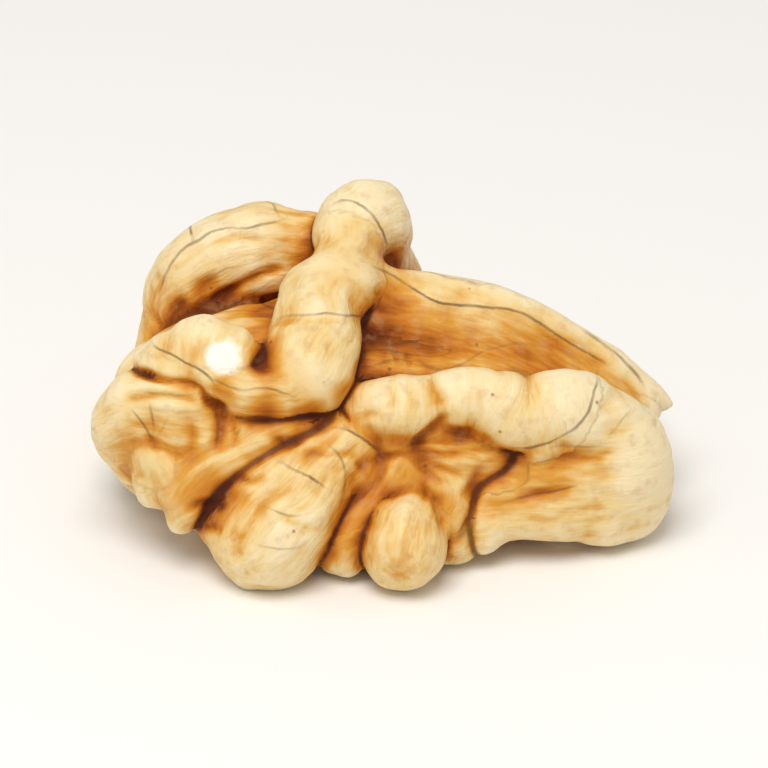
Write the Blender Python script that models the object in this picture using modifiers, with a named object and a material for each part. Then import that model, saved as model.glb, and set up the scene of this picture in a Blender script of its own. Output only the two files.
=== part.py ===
"""Walnut kernel half: one seed half, lying on its lowest folds.

Each fold of the seed is a tube along a path chosen by hand, thick where the fold swells. A voxel
remesh grows them into one body, smoothing rounds the creases, and a flat cut gives the small
faces that the kernel rests on.
+X is along the kernel, +Y to its back, +Z up. Lengths in the tables are in millimetres.
"""
import bmesh
import bpy
import numpy as np
from mathutils import Matrix

MM = 0.001
PATH_STEPS = 5            # path points for each stretch between two rows of a fold
END_STEPS = 4             # extra path points that round off each end of a fold
TUBE_SIDES = 4            # bevel resolution: 4 + 2 * 4 = 12 sides
VOXEL_MM = 0.5            # finer than the narrowest crease
SMOOTH_STEPS = 5
KEEP_FACES = 0.22         # share of the remeshed faces that Decimate keeps
REST_HEIGHT_MM = 0.40     # the tables' z of the flat cut that the kernel rests on
CUTTER_SIZE_MM = 60.0
CUTTER_DEPTH_MM = 10.0
SEED_COAT = (0.78, 0.50, 0.20, 1.0)

# Each row is (x, y, z, radius).
FOLDS = {
    # the crest: a thick fold over the top that hooks round to the left
    "column": [(-2.2, 4.4, 16.9, 2.0), (-2.4, 3.0, 16.9, 2.0), (-2.6, 1.6, 16.5, 2.0),
               (-3.2, 0.0, 15.9, 2.1), (-3.7, -1.4, 15.2, 2.4), (-4.0, -2.4, 14.9, 2.6),
               (-4.3, -3.4, 14.5, 2.9), (-4.4, -4.6, 13.9, 3.0), (-4.8, -5.8, 13.2, 2.95)],
    "shoulder": [(-5.1, -0.6, 15.8, 1.5), (-3.6, -0.8, 16.1, 1.75), (-2.2, -0.4, 15.9, 1.65)],
    "hook": [(-5.2, -6.4, 12.8, 2.5), (-6.8, -7.3, 12.2, 2.05), (-8.6, -7.5, 12.2, 1.95),
             (-10.2, -7.2, 12.8, 1.7), (-12.0, -6.5, 13.5, 1.3)],
    "hook_brow": [(-9.7, -6.4, 14.2, 1.9), (-11.6, -5.8, 14.6, 1.85), (-13.3, -5.3, 13.9, 1.5),
                  (-14.8, -4.9, 12.9, 1.2)],
    "roll": [(-11.7, -7.1, 12.9, 0.8), (-13.1, -6.8, 13.1, 1.0), (-14.5, -6.1, 12.9, 1.0)],
    "top_lobe": [(-2.3, 4.6, 17.0, 1.95), (-1.3, 5.8, 17.4, 2.6), (-0.7, 7.2, 16.3, 2.7),
                 (-0.7, 9.4, 13.0, 2.6), (0.4, 11.2, 9.2, 2.5), (1.6, 12.0, 6.6, 2.4),
                 (0.2, 11.8, 3.4, 2.6)],
    # the smooth wing on top, and the valley in front of it
    "wing_lip": [(-2.6, 1.6, 15.3, 1.35), (1.0, 1.8, 14.8, 1.15), (4.0, 1.8, 14.5, 1.05),
                 (7.5, 1.6, 13.9, 0.95), (11.0, 1.2, 12.3, 0.8), (14.5, 0.8, 10.2, 0.7),
                 (16.8, 0.5, 8.4, 0.7), (18.4, 0.4, 7.1, 0.7)],
    "wing_slope": [(-2.4, 0.2, 14.4, 1.35), (1.0, 0.4, 13.9, 1.15), (4.0, 0.5, 13.4, 1.05),
                   (7.5, 0.5, 12.7, 0.95), (11.0, 0.4, 11.1, 0.85), (14.5, 0.3, 9.2, 0.7),
                   (17.4, 0.2, 7.2, 0.7)],
    "wing_bulge": [(-2.4, -1.0, 13.2, 1.35), (1.0, -0.8, 12.9, 1.15), (4.0, -0.6, 12.3, 1.05),
                   (7.5, -0.5, 11.5, 0.95), (11.0, -0.5, 10.0, 0.95), (14.5, -0.3, 8.2, 0.75),
                   (17.2, 0.1, 6.7, 0.7)],
    "trough": [(-3.4, -3.2, 11.4, 1.6), (-0.8, -2.6, 10.4, 1.5), (1.6, -2.2, 10.0, 1.4),
               (4.6, -1.9, 9.9, 1.4), (8.0, -1.7, 9.6, 1.4), (11.6, -1.5, 8.4, 1.3),
               (14.8, -1.0, 6.9, 1.1), (16.6, -0.6, 6.2, 0.8)],
    "foot": [(-2.6, -4.8, 11.3, 1.4), (0.0, -4.3, 11.2, 1.4), (2.2, -4.2, 10.6, 1.35),
             (4.4, -4.0, 10.1, 1.4), (6.8, -3.8, 9.8, 1.5), (10.0, -3.4, 8.8, 1.5),
             (13.4, -3.0, 7.2, 1.4), (16.0, -2.6, 5.6, 1.2)],
    # the front lobe, left of its middle
    "left_lobe": [(-9.6, -7.4, 9.6, 2.0), (-12.4, -7.2, 9.9, 2.4), (-15.1, -6.2, 10.0, 2.6),
                  (-16.6, -5.6, 8.2, 2.3), (-16.0, -5.2, 5.8, 2.0)],
    "left_toe": [(-14.6, -7.8, 7.6, 1.5), (-15.0, -8.2, 6.2, 1.2), (-14.9, -8.4, 5.2, 1.05)],
    "left_bud": [(-14.2, -8.6, 7.8, 1.0), (-13.5, -9.2, 7.1, 0.8)],
    "left_bud_low": [(-13.4, -8.8, 6.5, 0.9), (-12.9, -9.2, 6.2, 0.75)],
    "left_brow": [(-15.9, -6.8, 11.4, 1.1), (-14.2, -7.8, 12.0, 1.0), (-12.2, -8.1, 11.9, 0.9)],
    "apron": [(-5.6, -7.4, 9.8, 1.7), (-8.6, -8.2, 8.9, 1.9), (-11.2, -8.8, 7.6, 1.8),
              (-12.6, -9.2, 5.6, 1.5)],
    "apron_edge": [(-3.4, -7.8, 9.6, 0.7), (-6.2, -8.7, 8.9, 0.7), (-8.4, -9.3, 8.0, 0.75),
                   (-10.8, -10.0, 6.7, 0.75), (-12.4, -10.3, 5.2, 0.8), (-13.1, -10.1, 3.9, 0.8)],
    "under_apron": [(-3.0, -6.6, 8.4, 1.8), (-6.0, -7.8, 7.4, 2.1), (-8.8, -8.6, 5.8, 2.1),
                    (-10.5, -8.6, 4.0, 1.9)],
    "belly": [(-2.4, -7.6, 7.9, 2.0), (-4.4, -9.2, 6.5, 2.7), (-5.8, -10.6, 4.8, 3.1),
              (-7.0, -11.4, 3.5, 3.3)],
    "belly_left": [(-7.4, -9.8, 5.2, 2.0), (-8.2, -10.7, 3.6, 2.2)],
    "side": [(0.6, -8.0, 6.9, 1.5), (-0.7, -9.6, 5.0, 1.6), (-2.0, -10.8, 3.6, 1.8),
             (-2.6, -11.0, 2.3, 1.8)],
    # the front lobe, right of its middle
    "knob": [(1.8, -10.6, 4.2, 2.0), (1.5, -11.6, 3.8, 2.5), (1.35, -12.2, 3.2, 2.77)],
    "knob_root": [(2.8, -7.6, 6.6, 1.3), (3.9, -8.6, 5.6, 1.4), (4.4, -9.4, 4.4, 1.3),
                  (4.5, -10.2, 3.4, 1.0)],
    "pit": [(-0.6, -6.2, 7.8, 2.0), (3.2, -6.3, 7.6, 2.0), (6.2, -6.3, 7.2, 2.0),
            (8.4, -6.1, 6.9, 1.9)],
    "pit_low": [(-1.0, -7.0, 5.4, 2.0), (2.0, -7.7, 5.2, 2.0), (5.0, -7.4, 4.8, 1.9)],
    "small_bump": [(6.4, -8.4, 3.9, 1.25), (6.2, -9.5, 2.9, 1.4)],
    "ridge_knob": [(-1.5, -6.7, 10.3, 1.3), (-0.3, -7.2, 10.7, 1.95), (1.2, -7.4, 10.8, 2.1),
                   (2.3, -7.2, 10.6, 1.75), (3.2, -6.7, 10.6, 1.15)],
    "ridge": [(3.8, -6.6, 10.8, 1.25), (4.9, -7.0, 11.2, 1.8), (6.8, -7.0, 11.1, 2.2),
              (9.0, -7.1, 10.2, 2.4), (11.0, -6.9, 10.4, 2.35), (12.2, -6.5, 10.3, 2.1)],
    "rim": [(11.4, -6.1, 9.8, 2.0), (13.4, -6.1, 9.4, 2.3), (15.5, -5.8, 7.7, 2.5),
            (16.5, -5.7, 5.3, 2.4), (16.3, -5.8, 3.2, 2.1)],
    "wall": [(10.4, -6.2, 6.6, 2.2), (12.4, -6.2, 6.2, 2.5), (14.4, -5.8, 5.6, 2.7)],
    "wall_mid": [(8.9, -6.5, 5.5, 1.9), (11.5, -6.6, 5.2, 2.1)],
    "wall_low": [(7.7, -6.9, 4.5, 1.8), (11.4, -6.8, 4.4, 2.1), (14.6, -6.4, 3.9, 2.2)],
    "hem": [(7.4, -8.2, 3.9, 1.1), (9.2, -8.5, 3.6, 1.2), (11.6, -8.4, 3.2, 1.3),
            (14.0, -7.8, 2.8, 1.4), (16.0, -6.8, 2.6, 1.4)],
    # the back lobe
    "back_left": [(-5.4, 6.6, 14.8, 2.6), (-8.6, 6.6, 14.6, 3.2), (-11.6, 6.4, 12.8, 3.3),
                  (-13.2, 6.2, 9.8, 2.8), (-14.2, 4.4, 7.4, 2.3), (-14.0, 3.0, 5.2, 2.2)],
    "rear_a": [(-5.4, 7.6, 13.6, 2.3), (-8.6, 9.8, 11.2, 2.4), (-9.3, 11.8, 8.4, 2.3),
               (-8.0, 12.8, 5.6, 2.2), (-8.6, 11.8, 2.9, 2.3)],
    "rear_b": [(-3.6, 8.4, 13.0, 2.2), (-5.4, 10.8, 10.6, 2.3), (-4.8, 12.6, 7.6, 2.4),
               (-3.2, 12.9, 4.8, 2.2), (-4.6, 12.2, 2.6, 2.2)],
    "rear_c": [(4.0, 5.0, 10.4, 2.0), (5.2, 8.0, 9.0, 2.3), (7.4, 9.7, 7.2, 2.3), (7.0, 11.5, 4.8, 2.4),
               (5.0, 12.0, 2.9, 2.4)],
    "rear_d": [(9.0, 3.6, 8.8, 1.9), (9.8, 6.4, 7.4, 2.2), (12.2, 7.6, 5.6, 2.2), (12.0, 9.2, 3.6, 2.3),
               (9.8, 9.8, 2.6, 2.2)],
    "rear_e": [(12.0, 2.4, 6.8, 1.8), (14.8, 4.2, 5.2, 2.0), (15.8, 5.8, 3.4, 2.2),
               (15.0, 6.8, 2.6, 2.1)],
    "rear_f": [(-11.2, 8.8, 10.2, 1.9), (-12.2, 9.8, 7.4, 2.3), (-12.4, 9.3, 4.4, 2.4),
               (-13.8, 7.0, 2.8, 2.3), (-15.4, 4.4, 3.0, 1.9)],
    "saddle": [(-3.0, 3.0, 12.8, 2.6), (4.0, 3.6, 11.2, 2.6), (11.0, 3.0, 8.2, 2.2)],
    # the middle and the underside
    "core": [(-11.0, 0.5, 8.0, 4.8), (-4.0, -0.5, 8.4, 5.4), (4.0, 0.0, 7.0, 4.6),
             (11.0, 0.2, 5.8, 3.2)],
    "core_back": [(-9.0, 5.6, 6.4, 4.4), (-2.0, 7.2, 6.8, 4.6), (5.0, 6.6, 5.6, 4.2),
                  (10.5, 4.8, 4.6, 3.0)],
    "right_end": [(9.0, 0.0, 5.6, 3.2), (13.4, 0.4, 5.0, 2.6), (16.2, 0.8, 4.2, 1.7)],
    "left_end": [(-9.0, -0.6, 9.6, 3.0), (-12.8, 0.2, 9.2, 2.8), (-15.7, 0.4, 7.2, 2.3),
                 (-16.4, -1.4, 4.9, 2.0), (-15.0, -3.2, 3.4, 1.8)],
    "under_a": [(-11.4, -4.8, 2.9, 2.4), (-9.6, -2.6, 2.8, 2.5), (-6.4, -1.8, 3.2, 2.4)],
    "under_b": [(-4.6, -8.6, 2.6, 2.4), (-3.0, -5.2, 2.7, 2.5), (0.2, -3.4, 3.2, 2.3)],
    "under_c": [(4.4, -9.2, 2.7, 2.2), (5.4, -5.8, 2.7, 2.5), (8.6, -3.8, 3.3, 2.2)],
    "under_d": [(12.2, -6.2, 2.6, 2.3), (14.0, -3.6, 3.2, 2.1)],
    "under_e": [(-12.0, 4.6, 2.9, 2.5), (-8.4, 4.4, 2.7, 2.6), (-5.2, 2.8, 3.2, 2.3)],
    "under_f": [(-3.2, 9.0, 2.6, 2.5), (-1.4, 5.8, 2.8, 2.5), (1.8, 3.6, 3.2, 2.2)],
    "under_g": [(5.4, 8.8, 2.6, 2.4), (7.6, 5.6, 2.8, 2.4), (10.4, 3.6, 3.4, 2.1)],
}


def clear_scene():
    for old in list(bpy.data.objects):
        bpy.data.objects.remove(old)


def new_collection(name):
    collection = bpy.data.collections.new(name)
    bpy.context.scene.collection.children.link(collection)
    return collection


def smooth_path(rows):
    """Rows read along a Catmull-Rom curve through the given rows, radius included."""
    given = np.array(rows, float)
    padded = np.vstack([2 * given[0] - given[1], given, 2 * given[-1] - given[-2]])
    t = np.linspace(0, 1, PATH_STEPS, endpoint=False)[:, None]
    runs = []
    for a, b, c, d in zip(padded, padded[1:], padded[2:], padded[3:]):
        cubic = 3 * b - a - 3 * c + d
        square = 2 * a - 5 * b + 4 * c - d
        runs.append(0.5 * (2 * b + (c - a) * t + square * t ** 2 + cubic * t ** 3))
    return np.vstack(runs + [given[-1:]])


def round_end(tip, before):
    """Rows past a path's tip: a quarter circle in which the radius shrinks to a small cap."""
    ahead = tip[:3] - before[:3]
    ahead /= np.linalg.norm(ahead)
    angle = np.linspace(0, np.pi / 2, END_STEPS + 2)[1:-1]
    centres = tip[:3] + tip[3] * np.sin(angle)[:, None] * ahead
    return np.column_stack([centres, tip[3] * np.cos(angle)])


def fold_tube(name, rows, collection):
    """A POLY curve along the path, whose bevel is 1 mm times each point's radius."""
    path = smooth_path(rows)
    path = np.vstack([round_end(path[0], path[1])[::-1], path, round_end(path[-1], path[-2])])
    curve = bpy.data.curves.new(name, "CURVE")
    curve.dimensions = "3D"
    curve.bevel_depth = MM
    curve.bevel_resolution = TUBE_SIDES
    curve.use_fill_caps = True
    spline = curve.splines.new("POLY")
    spline.points.add(len(path) - 1)
    for point, (x, y, z, radius) in zip(spline.points, path):
        point.co = (x * MM, y * MM, z * MM, 1.0)
        point.radius = radius
    tube = bpy.data.objects.new(name, curve)
    collection.objects.link(tube)
    return tube


def join_tubes(tubes, name, collection):
    """One mesh of all the tubes, with every cap welded to its tube; the curves are removed."""
    bpy.context.view_layer.update()
    graph = bpy.context.evaluated_depsgraph_get()
    joined = bmesh.new()
    for tube in tubes:
        piece = bpy.data.meshes.new_from_object(tube.evaluated_get(graph))
        piece.transform(tube.matrix_world)
        joined.from_mesh(piece)
        bpy.data.meshes.remove(piece)
        bpy.data.objects.remove(tube)
    bmesh.ops.remove_doubles(joined, verts=joined.verts, dist=0.001 * MM)
    bmesh.ops.recalc_face_normals(joined, faces=joined.faces)
    mesh = bpy.data.meshes.new(name)
    joined.to_mesh(mesh)
    joined.free()
    body = bpy.data.objects.new(name, mesh)
    collection.objects.link(body)
    return body


def grow_together(body):
    """Remesh the overlapping folds into one skin, soften it and thin out its faces."""
    remesh = body.modifiers.new("one_skin", "REMESH")
    remesh.mode = "VOXEL"
    remesh.voxel_size = VOXEL_MM * MM
    soften = body.modifiers.new("soft_creases", "SMOOTH")
    soften.factor = 0.5
    soften.iterations = SMOOTH_STEPS
    thin = body.modifiers.new("fewer_faces", "DECIMATE")
    thin.ratio = KEEP_FACES
    bpy.context.view_layer.update()
    graph = bpy.context.evaluated_depsgraph_get()
    grown = bpy.data.meshes.new_from_object(body.evaluated_get(graph))
    body.modifiers.clear()
    body.data = grown


def shell_of(start):
    """Every vertex that is joined to the first one by edges."""
    found = {start}
    waiting = [start]
    while waiting:
        vertex = waiting.pop()
        for edge in vertex.link_edges:
            other = edge.other_vert(vertex)
            if other not in found:
                found.add(other)
                waiting.append(other)
    return found


def drop_inner_shells(body):
    """Keep the largest shell: pockets closed in between the folds are seed, not air."""
    skin = bmesh.new()
    skin.from_mesh(body.data)
    waiting = set(skin.verts)
    shells = []
    while waiting:
        shell = shell_of(next(iter(waiting)))
        waiting -= shell
        shells.append(shell)
    shells.sort(key=len)
    inner = [vertex for shell in shells[:-1] for vertex in shell]
    bmesh.ops.delete(skin, geom=inner, context="VERTS")
    skin.to_mesh(body.data)
    skin.free()


def stand_on_floor(body):
    """Centre the body's box over the origin, with the slice to cut off below z = 0."""
    corners = np.array([vertex.co for vertex in body.data.vertices])
    middle = (corners.min(axis=0) + corners.max(axis=0)) / 2
    body.data.transform(Matrix.Translation((-middle[0], -middle[1], -REST_HEIGHT_MM * MM)))


def cut_rest_faces(body, cutters):
    """Slice the lowest folds flat at z = 0 with a box."""
    bpy.ops.mesh.primitive_cube_add(size=1.0, location=(0, 0, -CUTTER_DEPTH_MM * MM / 2))
    box = bpy.context.object
    box.name = "rest_cutter"
    box.scale = (CUTTER_SIZE_MM * MM, CUTTER_SIZE_MM * MM, CUTTER_DEPTH_MM * MM)
    for home in box.users_collection:
        home.objects.unlink(box)
    cutters.objects.link(box)
    box.hide_render = True
    box.display_type = "WIRE"
    cut = body.modifiers.new("rest_faces", "BOOLEAN")
    cut.operation = "DIFFERENCE"
    cut.solver = "EXACT"
    cut.object = box


def seed_coat():
    material = bpy.data.materials.new("seed_coat")
    material.use_nodes = True
    shader = material.node_tree.nodes["Principled BSDF"]
    shader.inputs["Base Color"].default_value = SEED_COAT
    shader.inputs["Roughness"].default_value = 0.5
    shader.inputs["Metallic"].default_value = 0.0
    return material


def build():
    clear_scene()
    parts = new_collection("walnut_kernel_half")
    cutters = new_collection("cutters")
    tubes = [fold_tube(name, rows, parts) for name, rows in FOLDS.items()]
    kernel = join_tubes(tubes, "walnut_half", parts)
    grow_together(kernel)
    drop_inner_shells(kernel)
    stand_on_floor(kernel)
    cut_rest_faces(kernel, cutters)
    kernel.data.materials.clear()
    kernel.data.materials.append(seed_coat())


build()
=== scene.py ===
"""Walnut kernel half, finished: skin, creases, veins and seed coat.

The seed is a set of folds. Each fold is a row of balls along a path, and folds of the same lobe
flow into each other while two lobes meet in a crease. A voxel skin is wrapped round them, pulled
onto the blended surface, then wrinkled. +X is along the kernel, +Y to its back, +Z up. Lengths in
the tables and in the working arrays are in millimetres; meshes are in metres.
"""

import bpy
import numpy as np
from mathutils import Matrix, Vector


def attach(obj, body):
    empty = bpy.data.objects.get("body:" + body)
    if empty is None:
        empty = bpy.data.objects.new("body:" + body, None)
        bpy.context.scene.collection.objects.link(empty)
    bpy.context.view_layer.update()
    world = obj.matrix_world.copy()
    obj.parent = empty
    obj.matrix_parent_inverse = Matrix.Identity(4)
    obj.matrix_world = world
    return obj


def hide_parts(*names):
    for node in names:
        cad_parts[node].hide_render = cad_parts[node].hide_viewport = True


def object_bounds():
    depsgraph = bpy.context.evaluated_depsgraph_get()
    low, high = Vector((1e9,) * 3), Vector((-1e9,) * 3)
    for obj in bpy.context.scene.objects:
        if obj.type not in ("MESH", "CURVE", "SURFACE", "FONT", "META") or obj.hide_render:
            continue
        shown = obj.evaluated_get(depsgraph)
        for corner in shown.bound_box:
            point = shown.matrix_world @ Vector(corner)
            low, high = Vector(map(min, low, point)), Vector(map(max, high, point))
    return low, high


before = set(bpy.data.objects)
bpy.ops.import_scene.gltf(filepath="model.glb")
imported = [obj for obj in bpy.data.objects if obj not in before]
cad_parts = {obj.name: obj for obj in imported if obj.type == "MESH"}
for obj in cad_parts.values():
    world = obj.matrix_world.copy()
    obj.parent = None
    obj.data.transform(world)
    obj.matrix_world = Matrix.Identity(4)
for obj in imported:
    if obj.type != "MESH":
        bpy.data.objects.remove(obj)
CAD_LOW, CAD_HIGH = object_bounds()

MM = 0.001
VOXEL_MM = 0.27           # size of the skin's cells
WRAP_MM = 0.25            # how far the first skin stands off the folds
BALL_GAP_MM = 0.35        # from ball to ball along a fold
RING_GAP_MM = 0.7         # from ring to ring along a fold's first, rough tube
LEANING_UP = np.array([0.0, 0.3, 1.0])    # a direction that no fold follows
REST_HEIGHT_MM = 0.40     # the tables' z of the plane that the kernel rests on

# How far the folds of one lobe flow into each other.
LOBES = {"inner": 0.9, "crest": 0.55, "wing": 0.8, "left": 0.5, "brow": 0.5, "belly": 1.0, "side": 0.4,
         "knob": 0.5, "stem": 0.5, "ridge": 0.55, "wall": 0.8, "back": 0.35, "rear_a": 0.35,
         "rear_b": 0.35, "rear_c": 0.35, "rear_d": 0.35, "rear_e": 0.35, "rear_f": 0.35, "under_a": 0.4,
         "under_b": 0.4, "under_c": 0.4, "under_d": 0.4, "under_e": 0.4, "under_f": 0.4, "under_g": 0.4,
         "end": 0.4}
CREASE_BLEND_MM = 0.28    # rounding of the crease between two lobes
SOFT_BLEND_MM = 0.7       # the same at a soft joint
# Where two lobes run into each other with no crease: (x, y, z, reach)
SOFT_JOINTS = [(-1.2, 1.6, 15.8, 2.6), (12.6, -6.0, 11.6, 2.2), (13.2, -7.6, 9.6, 1.6),
               (10.6, -8.4, 8.2, 1.2), (-16.8, -5.8, 11.0, 1.2), (-9.4, -8.4, 12.8, 1.5),
               (-11.2, -7.8, 13.6, 1.5), (-13.0, -7.0, 13.6, 1.6), (-1.8, -8.4, 8.6, 1.6),
               (0.8, -8.0, 8.8, 1.4), (3.4, -8.0, 8.6, 1.4), (6.0, -8.0, 8.2, 1.4),
               (1.4, -9.0, 6.8, 1.6), (3.4, -9.0, 6.0, 1.2), (-3.4, -8.6, 9.0, 0.8),
               (-1.4, 1.0, 12.6, 1.4), (-1.2, -9.2, 7.0, 1.3), (3.6, -10.4, 4.2, 1.4),
               (0.2, -10.8, 4.6, 1.2)]

# Soft furrows (depth above 0) and ribs (below 0) on the folds, drawn as the veins are:
# side, depth, half width, rows of (right, up)
FURROWS = [
    ("front", 0.45, 0.26, [(-16.2, 8.2), (-14.1, 7.5), (-12.6, 7.3), (-11.8, 6.9), (-11.2, 6.1),
                           (-10.0, 5.5)]),
    ("front", 0.30, 0.35, [(-17.0, 6.2), (-14.6, 6.5), (-12.6, 6.3), (-11.6, 5.9)]),
    ("front", 0.45, 0.40, [(-10.8, 6.2), (-10.4, 4.7), (-10.8, 2.8)]),
    ("front", 0.22, 0.25, [(-9.8, 5.2), (-9.5, 3.9), (-9.7, 3.2)]),
    ("front", 0.16, 0.22, [(-8.6, 4.8), (-8.3, 4.0)]),
    ("front", 0.20, 0.25, [(-15.3, 4.4), (-15.0, 3.7), (-14.4, 2.7)]),
    ("front", 0.22, 0.35, [(-12.6, 5.2), (-12.2, 3.9), (-12.6, 2.6)]),
    ("front", 0.20, 0.25, [(-5.4, 2.9), (-3.8, 2.75), (-2.2, 2.7), (-1.6, 2.2)]),
    ("front", 0.22, 0.25, [(-6.9, -0.8), (-5.7, -1.7), (-4.0, -2.2)]),
    ("front", 0.16, 0.22, [(-6.5, -2.7), (-5.2, -2.3), (-4.1, -2.4)]),
    ("front", 0.30, 0.30, [(-12.8, -0.8), (-11.4, -0.5), (-9.9, -0.7)]),
    ("front", 0.28, 0.28, [(-12.4, -2.3), (-11.2, -2.0), (-10.2, -2.2)]),
    ("front", 0.20, 0.25, [(-2.0, 2.4), (-1.3, 1.8), (-0.9, 1.0)]),
    ("front", 0.25, 0.30, [(-9.8, 1.4), (-8.4, 1.0), (-7.2, 1.4)]),
    ("front", 0.22, 0.30, [(-7.4, 4.0), (-6.0, 3.4), (-4.8, 3.9)]),
    ("front", 0.10, 0.22, [(-7.1, 11.0), (-5.6, 11.35), (-3.8, 11.3), (-1.8, 11.2)]),
    ("front", 0.55, 0.35, [(-11.6, 12.4), (-10.4, 13.1), (-8.9, 13.9), (-7.6, 14.5), (-6.3, 14.9)]),
    ("front", 0.35, 0.50, [(-12.6, 13.2), (-11.6, 13.9), (-10.6, 14.0)]),
    ("front", 0.25, 0.35, [(-11.6, 16.4), (-9.4, 16.9), (-7.6, 16.4)]),
    ("front", 0.22, 0.30, [(-14.0, 11.8), (-13.2, 12.6), (-12.6, 12.4)]),
    ("front", 0.20, 0.30, [(-2.0, 4.9), (-0.8, 5.3), (0.4, 4.9)]),
    ("front", 0.18, 0.30, [(0.2, 7.4), (0.8, 6.4), (0.6, 5.4)]),
    ("front", 0.10, 0.40, [(9.4, 7.9), (10.0, 6.8), (9.8, 5.8)]),
    ("front", 0.16, 0.30, [(15.0, 3.0), (13.6, 2.4), (11.8, 2.5), (10.2, 2.1)]),
    ("front", 0.22, 0.30, [(12.7, 0.6), (10.7, 0.3), (8.6, -0.3)]),
    ("front", 0.16, 0.30, [(14.6, -0.9), (12.6, -1.0), (10.8, -1.5)]),
    ("front", 0.20, 0.25, [(2.2, 3.3), (3.8, 3.5), (5.8, 3.4)]),
    ("front", 0.35, 0.45, [(2.7, 8.2), (3.1, 7.2), (3.6, 6.2), (4.1, 5.4)]),
    ("front", 0.25, 0.22, [(-0.2, 9.4), (0.2, 8.9), (0.5, 8.3)]),
    ("front", 0.25, 0.22, [(0.6, 9.6), (0.9, 9.0), (1.2, 8.3)]),
    ("front", 0.25, 0.22, [(1.4, 9.6), (1.6, 9.0), (1.9, 8.3)]),
    ("front", 0.35, 0.30, [(4.3, 5.5), (3.5, 4.6), (2.6, 3.8), (1.7, 3.1)]),
    ("front", 0.22, 0.25, [(2.1, 3.0), (3.8, 2.7), (5.8, 2.9), (7.6, 2.9)]),
    ("front", 0.22, 0.25, [(2.0, 2.8), (3.4, 2.0), (5.4, 1.3)]),
    ("front", 0.20, 0.25, [(1.8, 2.6), (2.8, 1.6), (4.4, 0.6)]),
    ("front", 0.20, 0.25, [(1.5, 3.0), (0.6, 2.6), (-0.4, 2.7)]),
    ("front", 0.30, 0.35, [(6.4, 2.2), (6.0, 1.0), (5.2, -0.4)]),
    ("rear", 0.35, 0.35, [(11.6, 9.8), (12.6, 8.0), (12.4, 5.6)]),
    ("rear", 0.30, 0.30, [(5.4, 10.8), (6.6, 8.4), (6.0, 6.0)]),
    ("rear", 0.30, 0.30, [(0.6, 11.0), (0.0, 8.0), (0.8, 5.2)]),
    ("rear", 0.30, 0.30, [(-5.6, 7.6), (-7.2, 5.4), (-6.4, 3.0)]),
    ("rear", 0.25, 0.30, [(-11.6, 6.4), (-12.4, 4.2), (-11.4, 2.2)]),
]

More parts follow.
